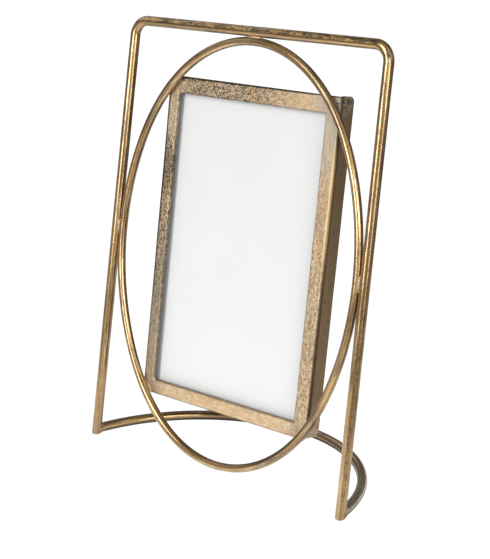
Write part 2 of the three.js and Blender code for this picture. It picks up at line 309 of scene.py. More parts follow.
def along(path, close=False):
    """How far each point of a path is from its start, with the way back to the start if it closes."""
    points = np.vstack([path, path[:1]]) if close else path
    return np.concatenate([[0], np.cumsum(lengths(np.diff(points, axis=0)))])


def rod_sections(path, radius, plane_normal, close=False):
    """Round sections along a flat path, and their marks: length, and place in the section."""
    if close:
        tangents = np.roll(path, -1, 0) - np.roll(path, 1, 0)
    else:
        tangents = np.gradient(path, axis=0)
    tangents /= lengths(tangents)[:, None]
    normal = np.array(plane_normal)
    side = np.cross(tangents, normal)
    angle = np.linspace(0, 2 * math.pi, ROD_SIDES + 1)
    length = along(path, close)
    uneven = 1 + ROD_UNEVEN * ripple(length[: len(path), None] * ROD_RIPPLE, 2 * np.sin(angle)[None, :])
    reach = radius * uneven[..., None]
    turn = side[:, None] * np.cos(angle)[None, :, None] + normal * np.sin(angle)[None, :, None]
    sections = path[:, None] + reach * turn
    marks = np.stack(
        np.broadcast_arrays(length[:, None], radius * np.cos(angle), radius * np.sin(angle)), -1
    )
    return sections[:, :-1], marks, tangents


def rod(name, path, radius, plane_normal, close=False, floor_ends=False):
    sections, marks, tangents = rod_sections(path, radius, plane_normal, close)
    if floor_ends:
        sections, marks = stand_on_floor(sections, marks, tangents, path)
    rows, columns = sections.shape[:2]
    faces, corners = grid(rows, columns, close)
    if not close:
        faces, corners = capped(faces, corners, rows, columns)
    mark_rows = marks[corners[:, 0], corners[:, 1]]
    return new_piece(name, sections.reshape(-1, 3), faces, mark_rows, "rod_place")


def stand_on_floor(sections, marks, tangents, path):
    """Ends the rod on the floor at both ends, with a small rounding at the edge of each end."""
    insets, heights = fillet(FOOT_ROUNDING, FOOT_STEPS)
    extra = []
    for end in (0, -1):
        rings = []
        for height, inset in zip(heights, insets):
            spokes = sections[end] - path[end]
            shrunk = path[end] + spokes * (1 - inset / lengths(spokes)[:, None])
            slide = (height - shrunk[:, 2]) / tangents[end][2]
            rings.append(shrunk + slide[:, None] * tangents[end])
        extra.append(np.array(rings))
    start, finish = extra[0][::-1], extra[1]
    count = len(heights)
    return (
        np.concatenate([start, sections, finish]),
        np.concatenate([np.repeat(marks[:1], count, 0), marks, np.repeat(marks[-1:], count, 0)]),
    )


# Paths of the rods
def spaced(start, stop, step=ROD_STEP):
    """Evenly spaced values, without the last."""
    count = max(2, round(abs(stop - start) / step))
    return np.linspace(start, stop, count, endpoint=False)


def hoop_path():
    bend_level = bar_height - BEND_RADIUS
    halves = {}
    for side in (-1, 1):
        bend_centre = leg_span(side, bend_level) - BEND_RADIUS / math.cos(splay[side])
        quarter = np.linspace(splay[side], math.pi / 2, BEND_STEPS)
        rise = spaced(3 * hoop_radius, bend_level + BEND_RADIUS * math.sin(splay[side]))
        reach = np.concatenate([leg_span(side, rise), bend_centre + BEND_RADIUS * np.cos(quarter)])
        height = np.concatenate([rise, bend_level + BEND_RADIUS * np.sin(quarter)])
        halves[side] = np.stack([side * reach, height], -1)
    bar = spaced(halves[-1][-1, 0], halves[1][-1, 0])[1:]
    bar = np.stack([bar, np.full(len(bar), bar_height)], -1)
    points = np.concatenate([halves[-1], bar, halves[1][::-1]])
    return place(points[:, 0], 0, points[:, 1])


def ring_path():
    angle = math.pi / 2 - np.linspace(0, 2 * math.pi, RING_STATIONS, endpoint=False)
    out = np.stack([ring_half_height * np.cos(angle), ring_half_width * np.sin(angle)], -1)
    out /= lengths(out)[:, None]
    points = np.stack([ring_half_width * np.cos(angle), ring_half_height * np.sin(angle)], -1)
    for centre, spread, reach in RING_BENDS:
        turn = (np.degrees(angle) - centre + 180) % 360 - 180
        points += out * (reach * np.exp(-((turn / spread) ** 2)))[:, None]
    return place(points[:, 0], 0, ring_centre + points[:, 1])


def bow_path():
    half_angle = math.atan2(BOW_HALF_SPAN, BOW_RADIUS - bow_depth) - BOW_END_GAP / BOW_RADIUS
    angle = np.linspace(half_angle, -half_angle, BOW_STATIONS)
    back = BOW_CENTRE.y + BOW_RADIUS * np.cos(angle)
    return np.stack([-BOW_RADIUS * np.sin(angle), back, np.full(len(angle), hoop_radius)], -1)


# The picture box
def outline(half_width, half_height, radius):
    """Stations round a rectangle with round corners, alike or each its own, and the way out at each."""
    angle = np.linspace(0, math.pi / 2, CORNER_STEPS)
    radii = np.broadcast_to(radius, 4)
    side_steps = {0: round(2 * box_half_width / ROD_STEP), 1: round(2 * box_half_height / ROD_STEP)}
    corners = ((1, 1), (-1, 1), (-1, -1), (1, -1))
    arcs = []
    for quarter, (right, up) in enumerate(corners):
        turn = angle + quarter * math.pi / 2
        way = np.stack([np.cos(turn), np.sin(turn)], -1)
        bend = radii[quarter]
        centre = np.array([right * (half_width - bend), up * (half_height - bend)])
        arcs.append((centre + bend * way, way))
    points, ways = [], []
    for quarter, (arc, way) in enumerate(arcs):
        following = arcs[(quarter + 1) % 4][0][0]
        share = np.linspace(0, 1, side_steps[quarter % 2] + 1)[1:-1, None]
        points.extend([arc, arc[-1] + (following - arc[-1]) * share])
        ways.extend([way, np.repeat(way[-1:], len(share), 0)])
    return np.vstack(points), np.vstack(ways)


def bezel_profile(wide, depth):
    """One section of the bezel, a folded sheet: out from the window's edge, and behind the face."""
    aside, behind = fillet(BEZEL_SHEET, FOLD_STEPS)
    flat = wide - 2 * BEZEL_SHEET
    profile = [(0, depth), (0, (depth + BEZEL_SHEET) / 2)]
    profile += zip(aside, behind)
    profile += [(BEZEL_SHEET + flat * share, 0) for share in np.linspace(0, 1, RAIL_STEPS)[1:-1]]
    profile += zip(wide - behind, aside)
    profile += [(wide - BEZEL_SHEET, BEZEL_SHEET), (RETURN_SHEET, BEZEL_SHEET), (RETURN_SHEET, depth)]
    return profile


def bezel():
    """The front plate: its upper right corner is filled, its left and bottom rails are narrower."""
    radii = (FILLED_CORNER, WORN_CORNER, BOX_CORNER, BOX_CORNER)
    outer, _ = outline(box_half_width, box_half_height, radii)
    rails = np.array([BEZEL_WIDTH + LEFT_RAIL, BEZEL_WIDTH + BOTTOM_RAIL])
    half_window = np.array([box_half_width, box_half_height]) - rails / 2
    inner, _ = outline(*half_window, INNER_CORNER)
    inner = inner + (np.array([LEFT_RAIL, BOTTOM_RAIL]) - BEZEL_WIDTH) / 2
    width = lengths(outer - inner)
    way = (outer - inner) / width[:, None]
    length = along(outer, True)
    rows = np.array([bezel_profile(wide, return_back - bezel_front) for wide in width])
    across, behind = rows[..., 0], rows[..., 1]
    fade = np.clip(1 - behind / BEZEL_SHEET, 0, 1)
    dent = BEZEL_DENT * ripple(length[:-1, None] * BEZEL_RIPPLE[0], across * BEZEL_RIPPLE[1]) * fade
    plane = inner[:, None] + way[:, None] * across[..., None]
    points = place(plane[..., 0], bezel_front + behind + dent, box_middle + plane[..., 1])
    count, columns = across.shape
    faces, corners = grid(count, columns, True)
    station, column = corners[:, 0] % count, corners[:, 1] % columns
    inward = across[station, column] - width[station]
    marks = np.stack([length[corners[:, 0]], inward, behind[station, column]], -1)
    faces = [face[::-1] for face in faces]
    marks = marks.reshape(-1, 4, 3)[:, ::-1].reshape(-1, 3)
    return new_piece("bezel", points.reshape(-1, 3), faces, marks, "sheet_place")


def band_line():
    """Stations from the left upper end round the bottom to the right: place, way out, front and back."""
    points, ways = outline(box_half_width, box_half_height, BOX_CORNER)
    keep = points[:, 1] < box_half_height - BOX_CORNER - MM
    start = np.argmax(keep & (points[:, 0] < 0))
    order = np.arange(start, start + keep.sum()) % len(points)
    drawn_in, drop = fillet(WALL_TOP_RADIUS, CORNER_STEPS)
    rise = wall_top - box_middle - drop
    sides = np.stack([np.full(len(rise), box_half_width), rise], -1)
    flat_way = np.repeat([[1.0, 0.0]], len(sides), 0)
    points = np.vstack([sides[::-1] * (-1, 1) - (0, LEFT_WALL_DROP), points[order], sides])
    ways = np.vstack([-flat_way, ways[order], flat_way])
    back = np.full(len(points), box_back)
    back[: len(drop)] -= drawn_in[::-1]
    back[-len(drop):] -= drawn_in
    front = np.full(len(points), band_front)
    front[: len(drop)] += drawn_in[::-1]
    return points, ways, front, back


def band_profile(fore, rear):
    """One section of the side wall, with a rolled rear edge: in from its outer face, and behind."""
    edge_back, edge_in = fillet(BAND_EDGE, EDGE_STEPS)
    fold_in, fold_fore = fillet(REAR_FOLD, EDGE_STEPS)
    face = [(0, fore + (rear - fore) * share) for share in np.linspace(0, 1, WALL_STEPS)[1:-1]]
    inside = [(BAND_SHEET - BAND_EDGE / 8, rear), (BAND_SHEET, rear - BAND_EDGE / 2)]
    inside += [(BAND_SHEET, fore + BAND_EDGE), (BAND_SHEET - BAND_EDGE / 3, fore + BAND_EDGE / 3)]
    edge = zip(edge_in[::-1], fore + edge_back[::-1])
    return [*edge, *face, *zip(fold_in, rear - fold_fore), *inside]


def band():
    """The side wall of the box, with shallow dents."""
    points, ways, front, back = band_line()
    length = along(points)
    rows = np.array([band_profile(fore, rear) for fore, rear in zip(front, back)])
    inward, behind = rows[..., 0], rows[..., 1]
    dent = WALL_DENT * ripple(length[:, None] * WALL_RIPPLE[0], behind * WALL_RIPPLE[1])
    dent = np.clip(dent, 0, None) * (inward < BAND_EDGE)
    plane = points[:, None] - ways[:, None] * (inward + dent)[..., None]
    solid = place(plane[..., 0], behind, box_middle + plane[..., 1])
    count, columns = inward.shape
    faces, corners = capped(*grid(count, columns, False), count, columns)
    station, column = corners[:, 0], corners[:, 1] % columns
    depth = behind[station, column] - band_front
    marks = np.stack([length[station], depth, inward[station, column]], -1)
    return new_piece("side_wall", solid.reshape(-1, 3), faces, marks, "sheet_place")


# Braze beads
def crossings(field, inside):
    """The mean place in each cell of a grid where the field changes sign, and the cells that have one."""
    cells = tuple(size - 1 for size in field.shape)
    total = np.zeros(cells + (3,))
    count = np.zeros(cells)
    shifts = [(i, j, k) for i in (0, 1) for j in (0, 1) for k in (0, 1)]
    window = {shift: tuple(slice(s, s + c) for s, c in zip(shift, cells)) for shift in shifts}
    for first in shifts:
        for axis in range(3):
            if first[axis]:
                continue
            second = tuple(value + (order == axis) for order, value in enumerate(first))
            a, b = field[window[first]], field[window[second]]
            crosses = inside[window[first]] != inside[window[second]]
            share = np.where(crosses, a / np.where(crosses, a - b, 1), 0)
            spot = np.stack([np.full(cells, float(value)) for value in first], -1)
            spot[..., axis] += share
            total += spot * crosses[..., None]
            count += crosses
    return total / np.maximum(count, 1)[..., None], count > 0


def surface_net(field, origin, step):
    """A closed mesh of the surface where a field on a grid changes sign."""
    inside = field < 0
    spots, used = crossings(field, inside)
    number = np.full(used.shape, -1)
    number[used] = np.arange(used.sum())
    points = origin + step * (np.stack(np.nonzero(used), -1) + spots[used])
    faces = []
    for axis in range(3):
        one, two = (axis + 1) % 3, (axis + 2) % 3
        ahead = np.roll(inside, -1, axis)
        edges = np.stack(np.nonzero(inside != ahead), -1)
        edges = edges[(edges > 0).all(1) & (edges < used.shape).all(1)]
        for edge in edges:
            ring = []
            for back_one, back_two in ((1, 1), (0, 1), (0, 0), (1, 0)):
                cell = edge.copy()
                cell[one] -= back_one
                cell[two] -= back_two
                ring.append(int(number[tuple(cell)]))
            faces.append(ring if inside[tuple(edge)] else ring[::-1])
    return points, faces


def distance_to_path(points, path, centre, near=16 * MM):
    """Distance of many points from the stretch of a path near a centre."""
    stretch = path[lengths(path - centre) < near]
    best = np.full(len(points), 1.0)
    for spot in stretch:
        best = np.minimum(best, lengths(points - spot))
    return best


def fine(path, step=BEAD_STEP):
    """The same path with points close together."""
    length = along(path)
    even = np.arange(0, length[-1], step)
    return np.stack([np.interp(even, length, path[:, axis]) for axis in range(3)], -1)


def smooth_join(a, b, reach):
    """The distance to two forms with a hollow fillet of that reach between them."""
    mix = np.clip(reach - np.abs(a - b), 0, None) / np.maximum(reach, 1e-9)
    return np.minimum(a, b) - mix * mix * reach / 4


def relaxed(points, faces, passes=4):
    """The points of a quad mesh with the steps of its grid smoothed away."""
    quads = np.array(faces)
    pairs = np.vstack([quads[:, [corner, (corner + 1) % 4]] for corner in range(4)])
    pairs = np.vstack([pairs, pairs[:, ::-1]])
    count = np.bincount(pairs[:, 0], minlength=len(points))[:, None]
    for _ in range(passes):
        total = np.zeros_like(points)
        np.add.at(total, pairs[:, 0], points[pairs[:, 1]])
        points = points + (total / count - points) / 2
    return points


def bead(name, centre, half_size, forms, reach, room=None, weight=None):
    """Braze in the hollow between two forms, fading out from its centre, where room is above 0."""
    counts = np.ceil(2 * half_size / BEAD_STEP).astype(int) + 1
    origin = centre - half_size
    axes = [origin[axis] + BEAD_STEP * np.arange(counts[axis]) for axis in range(3)]
    spots = np.stack(np.meshgrid(*axes, indexing="ij"), -1).reshape(-1, 3)
    away = lengths((spots - centre) / half_size)
    fade = np.clip(BEAD_FADE[0] - BEAD_FADE[1] * away, 0, 1)
    if weight is not None:
        fade = fade * weight(spots)
    lumpy = 1 + BEAD_LUMPS * ripple(*(spots * BEAD_RIPPLE).T)
    first, second = (form(spots) + BEAD_SUNK for form in forms)
    joined = smooth_join(first, second, reach * lumpy * fade)
    field = np.maximum(joined, -np.minimum(first, second) - BEAD_SKIN)
    field = np.maximum(field, (away - BEAD_END) * half_size.min())
    if room is not None:
        field = np.maximum(field, -room(spots))
    points, faces = surface_net(field.reshape(counts), origin, BEAD_STEP)
    return new_piece(name, relaxed(points, faces), faces)


def rod_form(path, radius, centre):
    """The distance from a rod, as a function of points near a centre."""
    return lambda spots: distance_to_path(spots, path, centre) - radius


def box_form(corner):
    """The distance from the picture box, as one block with such corners, as a function of points."""
    def distance(spots):
        local = leaning(spots)
        half = np.array([box_half_width, box_half_height])
        flat = np.abs(local[:, [0, 2]] - (0, box_middle)) - half + corner
        side = lengths(np.clip(flat, 0, None)) + np.minimum(flat.max(1), 0) - corner
        deep = np.abs(local[:, 1] - (bezel_front + box_back) / 2) - (box_back - bezel_front) / 2
        pair = np.stack([side, deep], -1) + BEZEL_SHEET / 2
        inside = np.minimum(pair.max(1), 0)
        return inside + lengths(np.clip(pair, 0, None)) - BEZEL_SHEET / 2
    return distance


def before_walls(spots):
    """Above 0 before the walls and the picture stack, and anywhere in the lower half."""
    local = leaning(spots)
    return np.maximum(box_middle - local[:, 2], band_front - local[:, 1])


def above_floor(spots):
    return spots[:, 2] - FLOOR_GAP


def behind_leg(spots):
    """From 0 beside and before a leg to 1 well behind it."""
    return np.clip(leaning(spots)[:, 1] / hoop_radius, 0, 1)


def leg_contact(side):
    """The point between a leg and the ring where they are nearest to each other."""
    way = np.array([math.cos(splay[side]), math.sin(splay[side])])
    half = np.array([ring_half_width, ring_half_height])
    spot = half ** 2 * way / np.linalg.norm(half * way) + (ring_radius + BRAZE_GAP / 2) * way
    return place(side * spot[0], 0, ring_centre + spot[1])


def ring_beads(hoop, ring):
    """The beads where the ring touches the hoop, each with the CAD node it stands for."""
    joints = {
        "top": (place(0, 0, bar_height - hoop_radius - BRAZE_GAP / 2), BAR_SPACE),
        "left": (leg_contact(-1), LEG_SPACE),
        "right": (leg_contact(1), LEG_SPACE),
    }
    for side, (centre, space) in joints.items():
        forms = (rod_form(hoop, hoop_radius, centre), rod_form(ring, ring_radius, centre))
        yield bead("braze_ring_" + side, centre, space, forms, ROD_BEAD), "weld_ring_" + side


def corner_beads(ring):
    """The beads where the ring crosses the corners of the box."""
    x, s = box_half_width - BOX_CORNER / 2, box_half_height - BOX_CORNER / 2
    ends = (
        ("top_", 1, UPPER_SPACE, UPPER_BEAD, before_walls),
        ("bottom_", -1, LOWER_SPACE, LOWER_BEAD, None),
    )
    for end, up, space, reach, room in ends:
        for side, way in (("left", -1), ("right", 1)):
            name = end + side
            centre = place(way * x, ring_radius + BRAZE_GAP, box_middle + up * s)
            corner = FILLED_CORNER if name == "top_right" else BOX_CORNER
            forms = (rod_form(ring, ring_radius, centre), box_form(corner))
            piece = bead("braze_corner_" + name, centre, space, forms, reach[way], room)
            yield piece, "weld_corner_" + name


def foot_beads(bow):
    """The beads where the bow meets the legs."""
    heights = np.linspace(*LEG_STRETCH, LEG_STATIONS)
    for side, way, foot in (("left", -1, left_foot), ("right", 1, right_foot)):
        centre = np.array(foot) + (0, hoop_radius, hoop_radius)
        leg = place(way * leg_span(way, heights), 0, heights)
        forms = (rod_form(leg, hoop_radius, centre), rod_form(bow, hoop_radius, centre))
        piece = bead("braze_foot_" + side, centre, FOOT_SPACE, forms, FOOT_BEAD, above_floor, behind_leg)
        yield piece, "weld_foot_" + side


def beads():
    hoop, ring, bow = fine(hoop_path()), fine(ring_path()), fine(bow_path())
    yield from ring_beads(hoop, ring)
    yield from corner_beads(ring)
    yield from foot_beads(bow)


# Nodes
def material(name):
    made = bpy.data.materials.new(name)
    made.use_nodes = True
    tree = made.node_tree
    tree.nodes.clear()
    output = tree.nodes.new("ShaderNodeOutputMaterial")
    return made, tree, output


def feed(socket, value):
    """Links an input to an output, or sets it to a value."""
    if isinstance(value, bpy.types.NodeSocket):
        socket.id_data.links.new(value, socket)
    else:
        socket.default_value = value


def add(tree, kind, **values):
    """A shader node with its inputs, or else its settings, set by name."""
    made = tree.nodes.new(kind)
    for name, value in values.items():
        label = name.replace("_", " ")
        socket = next((s for s in made.inputs if s.name == label and s.enabled), None)
        if socket is None:
            setattr(made, name, value)
        else:
            feed(socket, value)
    return made


def math_node(operation, first, second=0):
    made = add(first.id_data, "ShaderNodeMath", operation=operation)
    feed(made.inputs[0], first)
    feed(made.inputs[1], second)
    return made.outputs["Value"]


def vector_node(operation, first, second, output="Value"):
    made = add(first.id_data, "ShaderNodeVectorMath", operation=operation)
    feed(made.inputs[0], first)
    feed(made.inputs[1], second)
    return made.outputs[output]


def mark(tree, name):
    return add(tree, "ShaderNodeAttribute", attribute_name=name).outputs["Vector"]


def object_place(tree):
    return add(tree, "ShaderNodeTexCoord").outputs["Object"]


def parts(vector):
    """The X, Y and Z of a vector."""
    return add(vector.id_data, "ShaderNodeSeparateXYZ", Vector=vector).outputs


def times(product, *factors):
    for factor in factors:
        product = math_node("MULTIPLY", product, factor)
    return product


def apart(value, middle):
    """How far a value is from a middle, to either side."""
    return math_node("ABSOLUTE", math_node("SUBTRACT", value, middle))


def between(value, low, high, to_low=0.0, to_high=1.0):
    """A smooth change from to_low, where the value is low, to to_high, where it is high."""
    made = add(
        value.id_data, "ShaderNodeMapRange", interpolation_type="SMOOTHSTEP",
        Value=value, From_Min=low, From_Max=high, To_Min=to_low, To_Max=to_high,
    )
    return made.outputs["Result"]


def strip(value, edges, strength):
    """A strip of that strength: its four edges are where it starts, is full, begins to fade and ends."""
    low, full, fading, high = edges
    return times(between(value, low, full, 0.0, strength), between(value, fading, high, 1.0, 0.0))


def raw_noise(vector, scale, detail, rough, warp):
    """Noise with so many waves a metre along each way."""
    spread = vector_node("MULTIPLY", vector, scale, "Vector")
    settings = {"Scale": 1.0, "Detail": detail, "Roughness": rough, "Distortion": warp}
    return add(spread.id_data, "ShaderNodeTexNoise", Vector=spread, **settings).outputs["Fac"]


def noise(vector, scale, low, high, detail=4.0, rough=0.55, warp=0.0):
    """The same, drawn out to 0 below low and 1 above high."""
    return between(raw_noise(vector, scale, detail, rough, warp), low, high)


def mixed(share, first, second):
    """A share of the second colour over the first, each a socket or a colour."""
    made = add(share.id_data, "ShaderNodeMix", data_type="RGBA")
    sockets = [s for s in made.inputs if s.enabled]
    for socket, value in zip(sockets, (share, first, second)):
        feed(socket, (*value, 1) if isinstance(value, tuple) else value)
    return next(s for s in made.outputs if s.enabled)


def laid(under, over, *shares):
    """A colour laid over another, as strongly as its shares together."""
    return mixed(times(*shares), under, over)


def dulled(first, second, low, high):
    """Roughness that rises with two noises."""
    return between(math_node("ADD", first, second), 0.0, 2.0, low, high)


def bump(height, distance, strength):
    made = add(height.id_data, "ShaderNodeBump", Height=height, Distance=distance, Strength=strength)
    return made.outputs["Normal"]


def pitted(grain, pits, distance, strength):
    """A grain with pits in it."""
    return bump(math_node("SUBTRACT", grain, pits), distance, strength)


def mixed_shaders(output, share, first, second):
    both = add(share.id_data, "ShaderNodeMixShader")
    for socket, value in zip(both.inputs, (share, first.outputs[0], second.outputs[0])):
        feed(socket, value)
    feed(output.inputs["Surface"], both.outputs[0])


def surface(name, build):
    """A material whose colour, roughness, normal and settings come from nodes that build adds."""
    made, tree, output = material(name)
    colour, roughness, normal, settings = build(tree)
    shader = add(tree, "ShaderNodeBsdfPrincipled", Base_Color=colour, Roughness=roughness, **settings)
    feed(shader.inputs["Normal"], normal)
    feed(output.inputs["Surface"], shader.outputs["BSDF"])
    return made


# Colours, and the settings of lacquered rod, bare sheet, board and glass
GOLD = (0.555, 0.352, 0.128)
PALE_GOLD = (0.70, 0.515, 0.285)
BRONZE = (0.31, 0.175, 0.055)
UMBER = (0.075, 0.043, 0.018)
# The darkest colour: specks and cracks, and painted shade on the bezel's crest and folds
SOOT_AND_SHADE = (0.020, 0.015, 0.011)
CHAMPAGNE = (0.62, 0.46, 0.28)
ROSE = (0.60, 0.42, 0.25)
CREAM = (0.78, 0.65, 0.46)
LOWER_GREY = (0.215, 0.185, 0.15)
APRICOT = (0.70, 0.45, 0.23)
SOLDER = (0.52, 0.38, 0.255)
PALE_BRAZE = (0.56, 0.42, 0.285)
DARK_BRAZE = (0.49, 0.355, 0.235)
STONE = (0.34, 0.29, 0.21)
SHADE = (0.15, 0.14, 0.145)
GREY_BRONZE = (0.285, 0.195, 0.098)
RUST = (0.29, 0.185, 0.09)
ASH = (0.31, 0.255, 0.18)
OLIVE = (0.105, 0.080, 0.052)
TOBACCO = (0.27, 0.14, 0.028)
TAWNY = (0.84, 0.53, 0.18)
HAZE = (0.50, 0.455, 0.40)
BLOOM = (0.68, 0.63, 0.50)
# A painted highlight colour for the outer edge of the right rail
RAIL_HIGHLIGHT_GOLD = (0.78, 0.57, 0.285)
PEWTER = (0.43, 0.41, 0.35)
# A dark brown for the seams, and for painted shade along the side wall's rear edge
SEAM_AND_EDGE_SHADE = (0.075, 0.040, 0.014)
PAPER_WHITE = (0.795, 0.795, 0.812)
PAPER_GREY = (0.78, 0.78, 0.80)
SLATE = (0.050, 0.053, 0.060)
DARK_SLATE = (0.036, 0.038, 0.043)
PALE_FIBRE = (0.085, 0.088, 0.095)
DARK_FLECK = (0.020, 0.020, 0.022)
CLEAR = (0.985, 0.99, 0.988)
GLASS_GREEN = (0.42, 0.66, 0.56)
LACQUER = {"Metallic": 1.0, "Coat Weight": 1.0, "Coat Roughness": 0.12, "Coat IOR": 1.72}
SHEET = {"Metallic": 0.6}
BOARD = {"Metallic": 0.0}
GLASS_IOR = 1.45


# Materials of the rods
def patina(where, stain):
    """Antique gold with lengthwise patina, more of it where stain is higher."""
    tone = noise(where, (24, 140, 140), 0.36, 0.66, detail=3)
    streak = noise(where, (60, 700, 700), 0.49, 0.62, detail=6, rough=0.65)
    pale = noise(where, (60, 500, 500), 0.50, 0.66, detail=5)
    speck = noise(where, (800, 1200, 1200), 0.56, 0.65, detail=3)
    grain = noise(where, (900, 2600, 2600), 0.2, 0.8, detail=5)
    colour = mixed(tone, GOLD, BRONZE)
    colour = laid(colour, PALE_GOLD, pale, 0.75)
    colour = laid(colour, UMBER, streak, stain)
    colour = laid(colour, SOOT_AND_SHADE, speck, 0.3)
    return colour, dulled(streak, grain, 0.23, 0.45), pitted(grain, streak, 0.04 * MM, 0.16)


def rod_metal(tree):
    colour, roughness, normal = patina(mark(tree, "rod_place"), 0.75)
    return colour, roughness, normal, LACQUER


def top_bar_blotches_and_painted_light(tree, colour, where):
    """A painted highlight along the lower side of the top bar, a painted dark reflection along its middle, and
    blotches on its upper side.
    """
    height = parts(object_place(tree))["Z"]
    bar = between(height, TOP_BAR - 9 * MM, TOP_BAR - 4 * MM)
    outward = times(parts(where)["Y"], 1 / hoop_radius)
    # Painted highlight along the lower side of the top bar, and a painted dark reflection along its middle
    colour = laid(colour, TAWNY, bar, strip(outward, BAR_HIGHLIGHT_LINE, 0.6))
    colour = laid(colour, UMBER, bar, strip(outward, BAR_DARK_REFLECTION_LINE, 0.6))
    upper = times(bar, between(outward, *UPPER_SIDE))
    bright = noise(where, (110, 760, 760), 0.42, 0.54, detail=5, rough=0.65)
    blotch = noise(where, (240, 800, 800), 0.495, 0.525, detail=6, rough=0.75, warp=0.8)
    colour = laid(colour, TAWNY, upper, bright)
    return laid(colour, UMBER, upper, blotch, 0.95)


def leg_stripe(colour, where):
    """A brown dotted stripe down the right leg, on its outer front."""
    length = parts(where)["X"]
    way = (0, math.cos(STRIPE_TURN), -math.sin(STRIPE_TURN))
    facing = vector_node("DOT_PRODUCT", where, way)
    stripe = between(times(facing, 1 / hoop_radius), *STRIPE_EDGE)
    stripe = times(stripe, between(length, STRIPE_START, STRIPE_START + 6 * MM))
    dots = noise(where, (800, 900, 900), 0.50, 0.58, detail=3)
    lower = between(length, STRIPE_START + 50 * MM, STRIPE_START + 120 * MM, 0.35, 0.65)
    colour = laid(colour, TOBACCO, stripe, 0.7)
    return laid(colour, UMBER, stripe, dots, lower)


def hoop_metal(tree):
    """The same gold with the blotches and painted light of the top bar and the stripe of the right leg."""
    where = mark(tree, "rod_place")
    colour, roughness, normal = patina(where, 0.8)
    colour = top_bar_blotches_and_painted_light(tree, colour, where)
    return leg_stripe(colour, where), roughness, normal, LACQUER


def bow_metal(tree):
    """The same gold, with grime and painted contact shade along the lower side and a grey bloom towards the right
    end.
    """
    where = mark(tree, "rod_place")
    colour, roughness, normal = patina(where, 0.4)
    patches = noise(where, (60, 500, 500), 0.15, 0.55, detail=5)
    # Grime and painted contact shade on the lower side, towards the floor
    grime_and_shade = between(parts(where)["Z"], -0.75 * hoop_radius, 0.05 * hoop_radius, 0.8, 0.0)
    colour = laid(colour, OLIVE, grime_and_shade, patches)
    bloom = noise(where, (420, 800, 800), 0.38, 0.56, detail=6, rough=0.75)
    rightward = between(parts(object_place(tree))["X"], *BLOOM_FADE, 0.0, 0.9)
    return laid(colour, BLOOM, bloom, rightward), roughness, normal, LACQUER


# Materials of the box
def corner_mask(tree):
    """1 at the upper right corner of the box, 0 a little way off."""
    corner = Vector(place(box_half_width, band_front, box_top))
    away = vector_node("DISTANCE", object_place(tree), corner)
    return between(away, 4 * MM, 11 * MM, 1.0, 0.0)


def corner_wear(tree, colour):
    """Grey patches at the upper right corner, and thin jagged cracks where a noise passes its middle."""
    where = object_place(tree)
    patches = noise(where, (330, 330, 330), 0.44, 0.56, detail=5)
    off = apart(raw_noise(where, (240, 240, 240), 4.0, 0.6, 0.4), 0.5)
    crack = between(off, 0.008, 0.022, 1.0, 0.0)
    mask = corner_mask(tree)
    return laid(laid(colour, PEWTER, mask, patches), SOOT_AND_SHADE, mask, crack)


def web(tree, weight):
    """The thin braze that has run over the lower right corner of the box."""
    corner = Vector(place(box_half_width, (band_front + box_back) / 2, box_bottom))
    away = vector_node("DISTANCE", object_place(tree), corner)
    ragged = noise(object_place(tree), (330, 330, 330), 0.3, 0.7, detail=5)
    edge = math_node("ADD", away, times(ragged, 7 * MM))
    return between(edge, 8 * MM, 16 * MM, weight, 0.0)


def left_rail(x):
    return between(x, *LEFT_FADE, 1.0, 0.0)


def speckled_sheet(tree, where, cloud, speck):
    """Pale sheet with a dark speckle that thins out from the upper left to the lower right."""
    x, _, z = parts(object_place(tree))
    high = between(math_node("ADD", z, times(x, -2.0)), *SPECKLE_HEIGHTS)
    right = times(between(x, *RIGHT_FADE), between(z, *RIGHT_HEIGHTS, 0.54, 0.42))
    right = math_node("MAXIMUM", right, 0.10)
    heavy = math_node("MAXIMUM", between(high, 0.0, 1.0, 0.0, 0.95), right)
    tone = noise(where, (34, 70, 70), 0.38, 0.64, detail=3)
    glowing = noise(where, (70, 160, 160), 0.54, 0.66)
    fleck = noise(where, (640, 820, 820), 0.50, 0.56, rough=0.7)
    pale = noise(where, (300, 420, 420), 0.46, 0.60, detail=5, rough=0.65)
    brush = noise(where, (110, 2200, 2200), 0.54, 0.70)
    colour = mixed(tone, CHAMPAGNE, ROSE)
    colour = laid(colour, APRICOT, glowing, between(high, 0.0, 0.5, 0.7, 0.0))
    colour = laid(colour, STONE, cloud, heavy)
    colour = laid(colour, UMBER, fleck, heavy)
    colour = laid(colour, CREAM, pale, 0.55)
    colour = laid(colour, SOOT_AND_SHADE, speck, heavy)
    return laid(colour, UMBER, brush, heavy, 0.6)


def rail_wear(tree, colour):
    """Haze on the upper right, and a smudge, a bleached stretch and a grey that darkens towards the bottom of the
    left rail.
    """
    x, _, z = parts(object_place(tree))
    haze = between(z, TOP_RAIL - 38 * MM, TOP_RAIL - 8 * MM, 0.0, 0.55)
    smudge = between(apart(z, SMUDGE_HEIGHT), 4 * MM, 14 * MM, 0.45, 0.0)
    left = left_rail(x)
    colour = laid(colour, HAZE, haze, between(x, *HAZE_FADE))
    colour = laid(colour, UMBER, left, smudge)
    colour = laid(colour, CREAM, left, between(z, *BLEACH_HEIGHTS, 0.0, 0.3))
    return laid(colour, LOWER_GREY, left, between(z, *LOWER_GREY_HEIGHTS, 0.48, 0.0))


